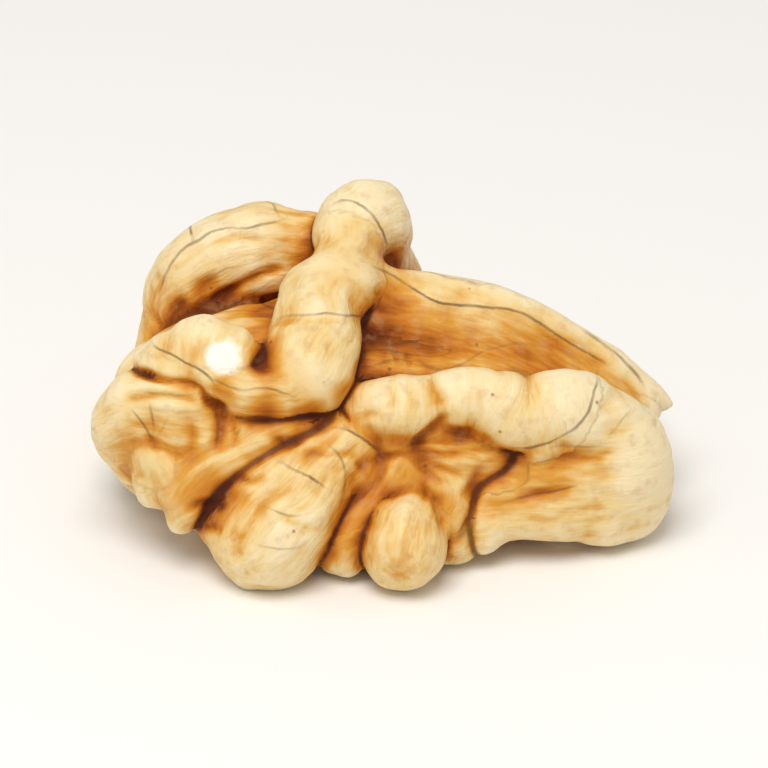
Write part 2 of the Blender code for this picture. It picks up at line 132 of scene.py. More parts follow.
# name: lobe, how lumpy the fold is (0 to 1), rows of (x, y, z, radius)
FOLDS = {
    "column": ("crest", 0.12, [
        (-2.2, 4.4, 16.9, 2.0), (-2.4, 3.0, 16.9, 2.0), (-2.6, 1.6, 16.5, 2.0), (-3.2, 0.0, 15.9, 2.1),
        (-3.7, -1.4, 15.2, 2.4), (-4.0, -2.4, 14.9, 2.6), (-4.3, -3.4, 14.5, 2.9), (-4.4, -4.6, 13.9, 3.0),
        (-4.8, -5.8, 13.2, 2.95)]),
    "shoulder": ("crest", 0.1, [(-5.1, -0.6, 15.8, 1.5), (-3.6, -0.8, 16.1, 1.75),
                                (-2.2, -0.4, 15.9, 1.65)]),
    "hook": ("crest", 0.12, [
        (-5.2, -6.4, 12.8, 2.5), (-6.8, -7.3, 12.2, 2.05), (-8.6, -7.5, 12.2, 1.95), (-10.2, -7.2, 12.8, 1.7),
        (-12.0, -6.5, 13.5, 1.3)]),
    "hook_brow": ("brow", 0.2, [(-9.7, -6.4, 14.2, 1.9), (-11.6, -5.8, 14.6, 1.85),
                                (-13.3, -5.3, 13.9, 1.5),
                                (-14.8, -4.9, 12.9, 1.2)]),
    "roll": ("brow", 0.1, [(-11.7, -7.1, 12.9, 0.8), (-13.1, -6.8, 13.1, 1.0), (-14.5, -6.1, 12.9, 1.0)]),
    "top_lobe": ("crest", 0.25, [
        (-2.3, 4.6, 17.0, 1.95), (-1.3, 5.8, 17.4, 2.6), (-0.7, 7.2, 16.3, 2.7), (-0.7, 9.4, 13.0, 2.6),
        (0.4, 11.2, 9.2, 2.5), (1.6, 12.0, 6.6, 2.4), (0.2, 11.8, 3.4, 2.6)]),
    "wing_lip": ("wing", 0.0, [
        (-2.6, 1.6, 15.3, 1.2), (1.0, 1.8, 14.8, 1.0), (4.0, 1.8, 14.5, 0.9), (7.5, 1.6, 13.9, 0.8),
        (11.0, 1.2, 12.3, 0.65), (14.5, 0.8, 10.2, 0.5), (16.8, 0.5, 8.4, 0.3), (18.9, 0.3, 6.7, 0.1)]),
    "wing_slope": ("wing", 0.0, [
        (-2.4, 0.2, 14.4, 1.2), (1.0, 0.4, 13.9, 1.0), (4.0, 0.5, 13.4, 0.9), (7.5, 0.5, 12.7, 0.8),
        (11.0, 0.4, 11.1, 0.7), (14.5, 0.3, 9.2, 0.5), (17.4, 0.2, 7.2, 0.1)]),
    "wing_bulge": ("wing", 0.0, [
        (-2.4, -1.0, 13.2, 1.2), (1.0, -0.8, 12.9, 1.0), (4.0, -0.6, 12.3, 0.9), (7.5, -0.5, 11.5, 0.8),
        (11.0, -0.5, 10.0, 0.8), (14.5, -0.3, 8.2, 0.6), (17.2, 0.1, 6.7, 0.1)]),
    "trough": ("wing", 0.0, [
        (-3.4, -3.2, 11.4, 1.6), (-0.8, -2.6, 10.4, 1.5), (1.6, -2.2, 10.0, 1.4), (4.6, -1.9, 9.9, 1.4),
        (8.0, -1.7, 9.6, 1.4), (11.6, -1.5, 8.4, 1.3), (14.8, -1.0, 6.9, 1.1), (16.6, -0.6, 6.2, 0.8)]),
    "foot": ("wing", 0.0, [
        (-2.6, -4.8, 11.3, 1.4), (0.0, -4.3, 11.2, 1.4), (2.2, -4.2, 10.6, 1.35), (4.4, -4.0, 10.1, 1.4),
        (6.8, -3.8, 9.8, 1.5), (10.0, -3.4, 8.8, 1.5), (13.4, -3.0, 7.2, 1.4), (16.0, -2.6, 5.6, 1.2)]),
    "left_lobe": ("left", 0.3, [
        (-9.6, -7.4, 9.6, 2.0), (-12.4, -7.2, 9.9, 2.4), (-15.1, -6.2, 10.0, 2.6), (-16.6, -5.6, 8.2, 2.3),
        (-16.0, -5.2, 5.8, 2.0)]),
    "left_toe": ("left", 0.3, [(-14.6, -7.8, 7.6, 1.5), (-15.0, -8.2, 6.2, 1.2), (-14.9, -8.4, 5.2, 1.05)]),
    "left_bud": ("left", 0.2, [(-14.2, -8.6, 7.8, 1.0), (-13.5, -9.2, 7.1, 0.8)]),
    "left_bud_low": ("left", 0.2, [(-13.4, -8.8, 6.5, 0.9), (-12.9, -9.2, 6.2, 0.75)]),
    "left_brow": ("left", 0.1, [(-15.9, -6.8, 11.4, 1.1), (-14.2, -7.8, 12.0, 1.0),
                                (-12.2, -8.1, 11.9, 0.9)]),
    "apron": ("left", 0.15, [(-5.6, -7.4, 9.8, 1.7), (-8.6, -8.2, 8.9, 1.9), (-11.2, -8.8, 7.6, 1.8),
                             (-12.6, -9.2, 5.6, 1.5)]),
    "apron_edge": ("left", 0.0, [
        (-3.4, -7.8, 9.6, 0.7), (-6.2, -8.7, 8.9, 0.7), (-8.4, -9.3, 8.0, 0.75), (-10.8, -10.0, 6.7, 0.75),
        (-12.4, -10.3, 5.2, 0.8), (-13.1, -10.1, 3.9, 0.8)]),
    "under_apron": ("belly", 0.2, [(-3.0, -6.6, 8.4, 1.8), (-6.0, -7.8, 7.4, 2.1), (-8.8, -8.6, 5.8, 2.1),
                                   (-10.5, -8.6, 4.0, 1.9)]),
    "belly": ("belly", 0.3, [
        (-2.4, -7.6, 7.9, 2.0), (-4.4, -9.2, 6.5, 2.7), (-5.8, -10.6, 4.8, 3.1), (-7.0, -11.4, 3.5, 3.3)]),
    "belly_left": ("belly", 0.2, [(-7.4, -9.8, 5.2, 2.0), (-8.2, -10.7, 3.6, 2.2)]),
    "side": ("side", 0.2, [
        (0.6, -8.0, 6.9, 1.5), (-0.7, -9.6, 5.0, 1.6), (-2.0, -10.8, 3.6, 1.8), (-2.6, -11.0, 2.3, 1.8)]),
    "knob": ("knob", 0.05, [(1.8, -10.6, 4.2, 2.0), (1.5, -11.6, 3.8, 2.5), (1.35, -12.2, 3.2, 2.77)]),
    "knob_root": ("stem", 0.1, [(2.8, -7.6, 6.6, 1.3), (3.9, -8.6, 5.6, 1.4), (4.4, -9.4, 4.4, 1.3),
                                (4.5, -10.2, 3.4, 1.0)]),
    "pit": ("stem", 0.1, [(-0.6, -6.6, 7.8, 2.0), (3.2, -6.9, 7.6, 2.0), (6.2, -6.9, 7.0, 2.0),
                          (8.2, -6.6, 6.7, 1.9)]),
    "pit_low": ("stem", 0.1, [(-1.0, -7.0, 5.4, 2.0), (2.0, -7.7, 5.2, 2.0), (5.0, -7.4, 4.8, 1.9)]),
    "small_bump": ("wall", 0.2, [(6.4, -8.4, 3.9, 1.25), (6.2, -9.5, 2.9, 1.4)]),
    "ridge_knob": ("ridge", 0.3, [
        (-1.5, -6.7, 10.3, 1.3), (-0.3, -7.2, 10.7, 1.95), (1.2, -7.4, 10.8, 2.1), (2.3, -7.2, 10.6, 1.75),
        (3.2, -6.7, 10.6, 1.15)]),
    "ridge": ("ridge", 0.15, [
        (3.8, -6.6, 10.8, 1.25), (4.9, -7.0, 11.2, 1.8), (6.8, -7.0, 11.1, 2.2), (9.0, -7.1, 10.2, 2.4),
        (11.0, -6.9, 10.4, 2.35), (12.2, -6.5, 10.3, 2.1)]),
    "rim": ("wall", 0.0, [
        (11.4, -6.1, 9.8, 2.0), (13.4, -6.1, 9.4, 2.3), (15.5, -5.8, 7.7, 2.5), (16.5, -5.7, 5.3, 2.4),
        (16.3, -5.8, 3.2, 2.1)]),
    "wall": ("wall", 0.0, [(10.4, -6.2, 6.6, 2.2), (12.4, -6.2, 6.2, 2.5), (14.4, -5.8, 5.6, 2.7)]),
    "wall_mid": ("wall", 0.0, [(8.9, -6.5, 5.5, 1.9), (11.5, -6.6, 5.2, 2.1)]),
    "wall_low": ("wall", 0.0, [(7.7, -6.9, 4.5, 1.8), (11.4, -6.8, 4.4, 2.1), (14.6, -6.4, 3.9, 2.2)]),
    "hem": ("wall", 0.3, [
        (7.4, -8.2, 3.9, 1.1), (9.2, -8.5, 3.6, 1.2), (11.6, -8.4, 3.2, 1.3), (14.0, -7.8, 2.8, 1.4),
        (16.0, -6.8, 2.6, 1.4)]),
    "back_left": ("back", 0.3, [
        (-5.4, 6.6, 14.8, 2.6), (-8.6, 6.6, 14.6, 3.2), (-11.6, 6.4, 12.8, 3.3), (-13.2, 6.2, 9.8, 2.8),
        (-14.2, 4.4, 7.4, 2.3), (-14.0, 3.0, 5.2, 2.2)]),
    "rear_a": ("rear_a", 0.6, [
        (-5.4, 7.6, 13.6, 2.3), (-8.6, 9.8, 11.2, 2.4), (-9.3, 11.8, 8.4, 2.3), (-8.0, 12.8, 5.6, 2.2),
        (-8.6, 11.8, 2.9, 2.3)]),
    "rear_b": ("rear_b", 0.6, [
        (-3.6, 8.4, 13.0, 2.2), (-5.4, 10.8, 10.6, 2.3), (-4.8, 12.6, 7.6, 2.4), (-3.2, 12.9, 4.8, 2.2),
        (-4.6, 12.2, 2.6, 2.2)]),
    "rear_c": ("rear_c", 0.6, [
        (4.0, 5.0, 10.4, 2.0), (5.2, 8.0, 9.0, 2.3), (7.4, 9.7, 7.2, 2.3), (7.0, 11.5, 4.8, 2.4),
        (5.0, 12.0, 2.9, 2.4)]),
    "rear_d": ("rear_d", 0.6, [
        (9.0, 3.6, 8.8, 1.9), (9.8, 6.4, 7.4, 2.2), (12.2, 7.6, 5.6, 2.2), (12.0, 9.2, 3.6, 2.3),
        (9.8, 9.8, 2.6, 2.2)]),
    "rear_e": ("rear_e", 0.6, [
        (12.0, 2.4, 6.8, 1.8), (14.8, 4.2, 5.2, 2.0), (15.8, 5.8, 3.4, 2.2), (15.0, 6.8, 2.6, 2.1)]),
    "rear_f": ("rear_f", 0.6, [
        (-11.2, 8.8, 10.2, 1.9), (-12.2, 9.8, 7.4, 2.3), (-12.4, 9.3, 4.4, 2.4), (-13.8, 7.0, 2.8, 2.3),
        (-15.4, 4.4, 3.0, 1.9)]),
    "saddle": ("inner", 0.2, [(-3.0, 3.0, 12.8, 2.6), (4.0, 3.6, 11.2, 2.6), (11.0, 3.0, 8.2, 2.2)]),
    "core": ("inner", 0.4, [(-11.0, 0.5, 8.0, 4.8), (-4.0, -0.5, 8.4, 5.4), (4.0, 0.0, 7.0, 4.6),
                            (11.0, 0.2, 5.8, 3.2)]),
    "core_back": ("inner", 0.3, [(-9.0, 5.6, 6.4, 4.4), (-2.0, 7.2, 6.8, 4.6), (5.0, 6.6, 5.6, 4.2),
                                 (10.5, 4.8, 4.6, 3.0)]),
    "right_end": ("inner", 0.3, [(9.0, 0.0, 5.6, 3.2), (13.4, 0.4, 5.0, 2.6), (16.2, 0.8, 4.2, 1.7)]),
    "left_end": ("end", 0.5, [
        (-9.0, -0.6, 9.6, 3.0), (-12.8, 0.2, 9.2, 2.8), (-15.7, 0.4, 7.2, 2.3), (-16.4, -1.4, 4.9, 2.0),
        (-15.0, -3.2, 3.4, 1.8)]),
    "under_a": ("under_a", 0.6, [(-11.4, -4.8, 2.9, 2.4), (-9.6, -2.6, 2.8, 2.5), (-6.4, -1.8, 3.2, 2.4)]),
    "under_b": ("under_b", 0.6, [(-4.6, -8.6, 2.6, 2.4), (-3.0, -5.2, 2.7, 2.5), (0.2, -3.4, 3.2, 2.3)]),
    "under_c": ("under_c", 0.6, [(4.4, -9.2, 2.7, 2.2), (5.4, -5.8, 2.7, 2.5), (8.6, -3.8, 3.3, 2.2)]),
    "under_d": ("under_d", 0.6, [(12.2, -6.2, 2.6, 2.3), (14.0, -3.6, 3.2, 2.1)]),
    "under_e": ("under_e", 0.6, [(-12.0, 4.6, 2.9, 2.5), (-8.4, 4.4, 2.7, 2.6), (-5.2, 2.8, 3.2, 2.3)]),
    "under_f": ("under_f", 0.6, [(-3.2, 9.0, 2.6, 2.5), (-1.4, 5.8, 2.8, 2.5), (1.8, 3.6, 3.2, 2.2)]),
    "under_g": ("under_g", 0.6, [(5.4, 8.8, 2.6, 2.4), (7.6, 5.6, 2.8, 2.4), (10.4, 3.6, 3.4, 2.1)]),
}

# Veins of the seed coat as drawn from in front ("front") or behind ("rear"), 30 degrees above the
# horizon: group, strength, rows of (right, up). Veins of one group stay clear of each other.
VEINS = {
    "top": ("front", 0, 0.9, [(-3.7, 18.8), (-2.4, 19.2), (-0.9, 18.5), (0.0, 17.3), (0.3, 15.6)]),
    "lip": ("front", 1, 0.9, [(-0.9, 15.0), (0.7, 14.4), (2.6, 13.0), (4.6, 12.4), (7.6, 12.2), (9.8, 11.4),
                              (12.4, 9.9), (14.8, 8.4)]),
    "lip_edge": ("front", 0, 0.7, [(12.6, 11.2), (14.4, 9.9), (16.0, 8.5), (17.4, 6.8)]),
    "column_ring": ("front", 0, 0.8, [(-7.0, 11.2), (-6.2, 11.6), (-4.0, 11.7), (-1.6, 11.6),
                                      (-0.6, 11.2)]),
    "hook": ("front", 0, 0.9, [(-15.2, 10.2), (-14.4, 9.5), (-12.8, 8.7), (-11.4, 7.9), (-10.6, 6.8)]),
    "hook_low": ("front", 1, 0.6, [(-11.3, 7.6), (-9.4, 7.0), (-7.4, 6.9), (-5.4, 6.3)]),
    "ridge_end": ("front", 0, 0.8, [(14.1, 8.2), (13.6, 6.2), (12.6, 4.6), (11.2, 3.6), (9.6, 3.1),
                                    (8.2, 3.1)]),
    "ridge_fine": ("front", 1, 0.4, [(16.2, 5.8), (15.2, 4.6), (14.4, 3.6)]),
    "wall_a": ("front", 0, 0.7, [(7.6, -0.6), (9.0, -0.1), (10.7, 0.2), (12.9, 0.8)]),
    "wall_b": ("front", 1, 0.5, [(10.6, 3.0), (12.4, 3.3), (14.6, 3.2)]),
    "foot_a": ("front", 1, 0.4, [(2.0, 7.2), (3.4, 8.0), (5.4, 8.6), (6.8, 9.4), (8.6, 9.8), (11.0, 9.6)]),
    "foot_b": ("front", 0, 0.5, [(-1.4, 8.2), (0.6, 8.7), (2.0, 8.6)]),
    "trough": ("front", 2, 0.5, [(-0.8, 9.9), (0.8, 9.8), (2.4, 10.0), (3.6, 9.7)]),
    "belly_a": ("front", 0, 0.5, [(-3.6, 3.6), (-2.6, 2.2), (-2.4, 0.6), (-3.0, -0.8)]),
    "belly_b": ("front", 1, 0.5, [(-7.6, -0.6), (-6.0, -1.2), (-4.6, -1.1)]),
    "belly_c": ("front", 0, 0.4, [(-8.4, -3.0), (-6.6, -3.4), (-5.0, -3.1)]),
    "apron_a": ("front", 0, 0.5, [(-10.8, 6.0), (-10.5, 4.4), (-10.9, 2.6)]),
    "apron_b": ("front", 1, 0.5, [(-8.8, 5.2), (-9.4, 3.8), (-9.6, 2.9)]),
    "left_a": ("front", 1, 0.9, [(-16.4, 5.8), (-15.7, 4.9), (-15.0, 4.0), (-14.6, 3.0)]),
    "left_b": ("front", 0, 0.9, [(-15.0, 6.2), (-14.8, 5.0), (-14.7, 3.8)]),
    "left_c": ("front", 2, 0.8, [(-13.7, 5.2), (-14.1, 4.5), (-14.6, 3.6)]),
    "belly_d": ("front", 2, 0.8, [(-7.2, 2.3), (-6.4, 2.1), (-5.1, 1.5), (-3.5, 0.3)]),
    "belly_e": ("front", 2, 0.8, [(-3.6, 4.6), (-2.2, 4.2), (-1.0, 3.5), (0.2, 2.2)]),
    "left_top": ("front", 2, 0.6, [(-15.8, 6.9), (-13.6, 6.5), (-11.8, 6.7)]),
    "knob": ("front", 0, 0.35, [(2.6, 0.6), (3.4, -1.2), (3.6, -3.2)]),
    "back_left_a": ("front", 2, 0.7, [(-14.9, 13.0), (-13.6, 15.6), (-11.2, 17.2), (-8.6, 17.6),
                                      (-6.2, 18.2)]),
    "back_left_b": ("front", 1, 0.7, [(-11.0, 11.8), (-8.6, 13.2), (-6.8, 14.2)]),
    "back_left_c": ("front", 0, 0.5, [(-12.4, 13.2), (-10.8, 14.6), (-9.2, 14.9)]),
    "rear_a": ("rear", 0, 0.8, [(11.4, 13.6), (12.6, 11.0), (12.4, 8.0), (11.0, 5.0)]),
    "rear_b": ("rear", 1, 0.8, [(6.6, 12.6), (8.4, 9.6), (8.8, 6.0), (8.0, 2.6)]),
    "rear_c": ("rear", 0, 0.8, [(3.4, 13.4), (4.2, 10.0), (5.4, 6.4), (4.6, 2.0)]),
    "rear_d": ("rear", 1, 0.9, [(-0.2, 13.0), (0.8, 9.0), (-0.4, 5.4), (0.2, 1.0)]),
    "rear_e": ("rear", 0, 0.8, [(-4.6, 9.6), (-6.6, 6.4), (-6.0, 2.6), (-6.6, -1.0)]),
    "rear_f": ("rear", 1, 0.8, [(-9.4, 8.2), (-11.2, 5.0), (-10.6, 1.6)]),
    "rear_g": ("rear", 0, 0.7, [(-13.4, 6.0), (-15.4, 3.6), (-15.0, 0.6)]),
    "rear_wing": ("rear", 2, 0.6, [(-2.0, 12.6), (-6.4, 12.2), (-10.6, 10.6), (-14.8, 7.6)]),
}
VEIN_REACH_MM = 1.2       # distance at which a vein's coding stops
SEAM_REACH_MM = 0.8       # the same for a crease between lobes
GRAIN_JUMP_MM = 17.3      # starts each fold's grain at another place in its pattern
FINE_ROUNDS, BROAD_ROUNDS = 8, 140        # smoothing that shows creases, and whole valleys
GRAIN_STRETCH = 0.22      # fineness of the grain along its fibres, against 1 across them

# Painted shade in pits and valleys, partly the coat's deeper tan there, and below 0 painted light that makes
# swells palest: (x, y, z, reach, strength)
TAN_SHADE_AND_LIGHT_SPOTS = [(1.8, -8.6, 7.8, 2.0, 0.3), (4.6, -8.4, 7.2, 1.8, -0.2), (6.8, -8.2, 7.0, 1.6, -0.3),
          (0.0, -2.0, 13.6, 2.2, 0.85), (0.0, -1.4, 15.0, 1.0, 0.4), (2.6, -1.8, 12.6, 2.2, 0.5),
          (9.0, -1.8, 9.6, 3.6, 0.3), (-9.6, -9.2, 8.6, 1.4, 0.2), (-11.6, -11.0, 5.4, 2.4, 1.0),
          (-10.6, -11.0, 3.4, 2.2, 0.8), (-7.7, -7.4, 14.3, 1.2, 0.9), (-7.6, 1.1, 13.6, 1.8, 0.9),
          (-11.2, 3.5, 12.7, 2.0, 0.35), (-13.3, 3.4, 13.1, 1.8, 0.35), (10.4, -8.6, 5.6, 3.0, 0.4),
          (-10.0, -9.4, 13.2, 1.0, 0.7), (-7.6, -9.4, 12.0, 1.1, 0.9), (-4.6, -9.2, 11.8, 1.1, 1.0),
          (-2.6, -8.2, 12.6, 1.0, 1.0), (-2.4, -9.2, 8.0, 1.8, 0.4), (0.2, -9.4, 6.0, 1.4, 0.15),
          (1.8, -10.6, 5.6, 1.2, 0.3), (1.4, -14.0, 4.0, 2.4, 0.5), (1.0, -9.2, 10.0, 2.2, 0.35),
          (-14.2, -7.6, 11.6, 1.4, 0.3), (-13.6, -9.0, 6.6, 1.0, 0.4), (12.4, -8.4, 11.2, 3.4, -0.5),
          (16.4, -7.6, 6.6, 3.4, -0.7), (7.0, -8.6, 12.2, 2.6, -0.2), (-10.4, 4.6, 17.0, 2.8, -0.35),
          (-12.0, 4.0, 15.4, 2.0, -0.2), (-0.8, 4.6, 19.4, 2.6, -0.3), (-5.2, -2.6, 17.0, 2.0, -0.2),
          (5.0, 1.2, 15.0, 3.4, -0.15), (-10.4, -11.4, 5.6, 1.8, 1.3), (7.3, -8.8, 3.4, 1.5, -0.3),
          (8.6, -8.7, 6.4, 1.6, -0.25)]
# Pale spots: the first a painted highlight on the hook's fold, the others pale flesh where the coat has worn
# off: (x, y, z, reach)
BARE_AND_HIGHLIGHT_SPOTS = [(-10.2, -7.7, 14.8, 1.5), (-13.6, -9.6, 8.0, 0.45), (7.6, 12.6, 8.6, 0.9)]


# ---------------------------------------------------------------- folds

def smooth_path(rows, steps=24):
    """Rows along a Catmull-Rom curve through the given rows, radius included."""
    given = np.array(rows, float)
    padded = np.vstack([2 * given[0] - given[1], given, 2 * given[-1] - given[-2]])
    t = np.linspace(0, 1, steps, endpoint=False)[:, None]
    runs = []
    for a, b, c, d in zip(padded, padded[1:], padded[2:], padded[3:]):
        cubic = 3 * b - a - 3 * c + d
        square = 2 * a - 5 * b + 4 * c - d
        runs.append(0.5 * (2 * b + (c - a) * t + square * t ** 2 + cubic * t ** 3))
    return np.vstack(runs + [given[-1:]])


def even_path(rows, gap):
    """The smooth path read again at even distances along itself."""
    path = smooth_path(rows)
    lengths = np.linalg.norm(np.diff(path[:, :3], axis=0), axis=1)
    along = np.concatenate([[0.0], np.cumsum(lengths)])
    wanted = np.linspace(0, along[-1], max(3, int(round(along[-1] / gap)) + 1))
    return np.column_stack([np.interp(wanted, along, path[:, k]) for k in range(4)]), wanted


def unit(vectors):
    """The same directions, each of length 1."""
    return vectors / np.linalg.norm(vectors, axis=-1, keepdims=True)


def frames_along(path, up):
    """Tangent, and the two directions across it: up made square to it, and their product."""
    tangent = unit(np.gradient(path[:, :3], axis=0))
    across = unit(up - (tangent @ up)[:, None] * tangent)
    return tangent, across, np.cross(tangent, across)


def tube(rows, fatter=0.0, sides=20, end_rows=5):
    """Circle of the path's radius carried along it; quarter circles round off both ends.

    point(s, a) = centre(s) + radius(s) * (cos(a) * across(s) + sin(a) * side(s)), where over an
    end centre moves on by radius * sin(b) and radius shrinks by cos(b), b from 0 to 90 degrees.
    """
    path, _ = even_path(rows, RING_GAP_MM)
    path[:, 3] += fatter
    tangent, across, side = frames_along(path, LEANING_UP)
    b = np.linspace(0, np.pi / 2, end_rows + 1)[1:]
    start = path[0, :3] - path[0, 3] * np.sin(b[::-1])[:, None] * tangent[0]
    stop = path[-1, :3] + path[-1, 3] * np.sin(b)[:, None] * tangent[-1]
    centres = np.vstack([start, path[:, :3], stop])
    radii = np.concatenate([path[0, 3] * np.cos(b[::-1]), path[:, 3], path[-1, 3] * np.cos(b)])
    across = np.vstack([across[:1]] * end_rows + [across] + [across[-1:]] * end_rows)
    side = np.vstack([side[:1]] * end_rows + [side] + [side[-1:]] * end_rows)
    a = np.linspace(0, 2 * np.pi, sides, endpoint=False)
    ring = np.cos(a)[:, None] * across[:, None, :] + np.sin(a)[:, None] * side[:, None, :]
    points = centres[:, None, :] + np.maximum(radii, 1e-4)[:, None, None] * ring
    cell = np.arange((len(centres) - 1) * sides).reshape(-1, sides)
    right = np.roll(cell, -1, axis=1)
    quads = np.stack([cell, right, right + sides, cell + sides], axis=-1).reshape(-1, 4)
    return points.reshape(-1, 3), quads


def mesh_object(name, points, faces):
    """An object in the scene from points in millimetres and faces."""
    mesh = bpy.data.meshes.new(name)
    mesh.from_pydata((points * MM).tolist(), [], faces.tolist())
    made = bpy.data.objects.new(name, mesh)
    bpy.context.scene.collection.objects.link(made)
    return made


# ---------------------------------------------------------------- skin

class Skin:
    """The quads of a voxel skin as whole arrays, with what smoothing needs."""

    def __init__(self, points, quads):
        self.points = points
        self.quads = quads
        count = len(points)
        pairs = np.vstack([quads[:, [k, (k + 1) % 4]] for k in range(4)])
        self.edges = np.unique(np.sort(pairs, axis=1), axis=0)
        self.degree = np.bincount(self.edges.ravel(), minlength=count)

    def neighbour_mean(self, values):
        """The mean of each vertex's neighbours, column by column."""
        a, b = self.edges.T
        count = len(values)
        columns = [(np.bincount(a, column[b], count) + np.bincount(b, column[a], count)) / self.degree
                   for column in values.T]
        return np.stack(columns, axis=1)

    def smoothed(self, values, rounds, share=0.5):
        """Values moved a share of the way to their neighbours' mean, a number of times."""
        values = values.copy()
        for _ in range(rounds):
            values += share * (self.neighbour_mean(values) - values)
        return values

    def normals(self, points):
        """Each quad's area vector is the product of its diagonals; a vertex sums its quads'."""
        q = self.quads
        area = np.cross(points[q[:, 2]] - points[q[:, 0]], points[q[:, 3]] - points[q[:, 1]])
        count = len(points)
        total = [sum(np.bincount(q[:, c], area[:, k], count) for c in range(4)) for k in range(3)]
        return unit(np.stack(total, axis=1))

    def hollow(self, points, rounds):
        """How far the smoothed skin lies outside the skin: more than 0 in a hollow."""
        return np.sum((self.smoothed(points, rounds) - points) * self.normals(points), axis=1)


def outer_shell(points, quads):
    """Keeps the quads joined to the largest shell. Labels spread over edges by pointer jumping."""
    label = np.arange(len(points))
    corners = [(quads[:, k], quads[:, (k + 1) % 4]) for k in range(4)]
    while True:
        before = label.copy()
        for a, b in corners:
            low = np.minimum(label[a], label[b])
            np.minimum.at(label, a, low)
            np.minimum.at(label, b, low)
        label = label[label]
        label = label[label]
        if np.array_equal(label, before):
            break
    names, counts = np.unique(label, return_counts=True)
    keep = label == names[counts.argmax()]
    renumber = np.cumsum(keep) - 1
    return points[keep], renumber[quads[keep[quads[:, 0]]]]


def wrapped_skin():
    """A voxel skin round all the folds' tubes."""
    points, faces, start = [], [], 0
    for _, _, rows in FOLDS.values():
        tube_points, quads = tube(rows, WRAP_MM)
        points.append(tube_points)
        faces.append(quads + start)
        start += len(tube_points)
    folds = mesh_object("folds", np.vstack(points), np.vstack(faces))
    remesh = folds.modifiers.new("one_skin", "REMESH")
    remesh.mode = "VOXEL"
    remesh.voxel_size = VOXEL_MM * MM
    bpy.context.view_layer.update()
    skin = bpy.data.meshes.new_from_object(folds.evaluated_get(bpy.context.evaluated_depsgraph_get()))
    co = np.empty(len(skin.vertices) * 3, np.float32)
    skin.vertices.foreach_get("co", co)
    corners = np.empty(len(skin.loops), np.int32)
    skin.loops.foreach_get("vertex_index", corners)
    bpy.data.objects.remove(folds)
    bpy.data.meshes.remove(skin)
    return outer_shell(co.reshape(-1, 3).astype(float) / MM, corners.reshape(-1, 4))


# ---------------------------------------------------------------- blended surface

class Balls:
    """Every fold's balls in whole arrays."""

    def __init__(self):
        centres, radii, tangents, across, along, fold = [], [], [], [], [], []
        for number, (_, _, rows) in enumerate(FOLDS.values()):
            path, distance = even_path(rows, BALL_GAP_MM)
            tangent, cross, _ = frames_along(path, LEANING_UP)
            centres.append(path[:, :3])
            radii.append(path[:, 3])
            tangents.append(tangent)
            across.append(cross)
            along.append(distance + GRAIN_JUMP_MM * number)
            fold.append(np.full(len(path), number))
        self.centres = np.vstack(centres)
        self.radii = np.concatenate(radii)
        self.tangents = np.vstack(tangents)
        self.across = np.vstack(across)
        self.along = np.concatenate(along)
        self.fold = np.concatenate(fold)
        self.starts = np.flatnonzero(np.diff(self.fold, prepend=-1))

    def distances(self, points):
        """Distance from each point to each fold: the least over its balls of centre distance
        less radius. Also the nearest ball of all."""
        found, nearest = [], []
        centres = self.centres.astype(np.float32)
        for part in np.array_split(points.astype(np.float32), 1 + len(points) // 6000):
            square = np.sum(part ** 2, 1)[:, None] + np.sum(centres ** 2, 1) - 2 * part @ centres.T
            gap = np.sqrt(np.maximum(square, 0)) - self.radii.astype(np.float32)
            nearest.append(gap.argmin(axis=1))
            found.append(np.minimum.reduceat(gap, self.starts, axis=1))
        return np.vstack(found).astype(float), np.concatenate(nearest)


def soft_least(distances, blend):
    """-blend * log(sum(exp(-distance / blend))): the least distance, rounded where two are near."""
    least = distances.min(axis=1)
    blend = np.broadcast_to(blend, least.shape)
    return least - blend * np.log(np.exp(-(distances - least[:, None]) / blend[:, None]).sum(axis=1))


def lobe_distances(distances):
    """Distance to each lobe, its folds blended by the lobe's own rounding."""
    lobes = np.array([list(LOBES).index(lobe) for lobe, _, _ in FOLDS.values()])
    columns = [soft_least(distances[:, lobes == number], blend)
               for number, blend in enumerate(LOBES.values())]
    return np.stack(columns, axis=1)


def seam_gap(lobes):
    """How much nearer the nearest lobe is than the next: 0 where two lobes meet. The inner folds
    only show as the floors of hollows, so they make no seam."""
    two = np.partition(lobes[:, 1:], 1, axis=1)
    return two[:, 1] - two[:, 0] + np.maximum(two[:, 0] - lobes[:, 0], 0) * 2


def signed_seam(lobes, seam):
    """The seam gap with a sign that changes from one lobe to the other, so that it passes
    straight through 0 where they meet."""
    order = np.argsort(lobes[:, 1:], axis=1)[:, :2]
    return np.where(order[:, 0] < order[:, 1], seam, -seam)


def softness(points):
    """1 at a soft joint, falling off as a bell over its reach."""
    soft = np.zeros(len(points))
    for x, y, z, reach in SOFT_JOINTS:
        square = np.sum((points - np.array([x, y, z])) ** 2, axis=1)
        soft = np.maximum(soft, np.exp(-(square / reach ** 2) ** 2))
    return soft


def pull_to_surface(skin, balls):
    """Moves each vertex along its normal by its distance to the blended surface, a few times."""
    points = skin.smoothed(skin.points, 2)
    for _ in range(3):
        distances, _ = balls.distances(points)
        blend = CREASE_BLEND_MM + (SOFT_BLEND_MM - CREASE_BLEND_MM) * softness(points)
        gap = soft_least(lobe_distances(distances), blend)
        points -= skin.normals(points) * np.clip(0.9 * gap, -0.5, 0.5)[:, None]
        points = skin.smoothed(points, 1, 0.35)
    return points


# ---------------------------------------------------------------- wrinkles

# Lumps, puckers, swells and flutes along the grain: height, size, seed of the draw
LUMPS = ((1.3, 5.5, 3), (0.55, 2.6, 4))
PUCKERS = (0.16, 1.5, 8)
SWELLS = ((0.22, 4.5, 21), (0.10, 2.2, 22))
FLUTES = (0.14, (5.0, 1.1, 1.1), 23)
BEND_MM, BEND_SIZE_MM, BEND_SEED = 1.2, 7.0, 11    # how far the lumps' pattern is pulled about
GROOVE_MM, GROOVE_WIDTH_MM = 0.2, 0.3              # groove along a crease


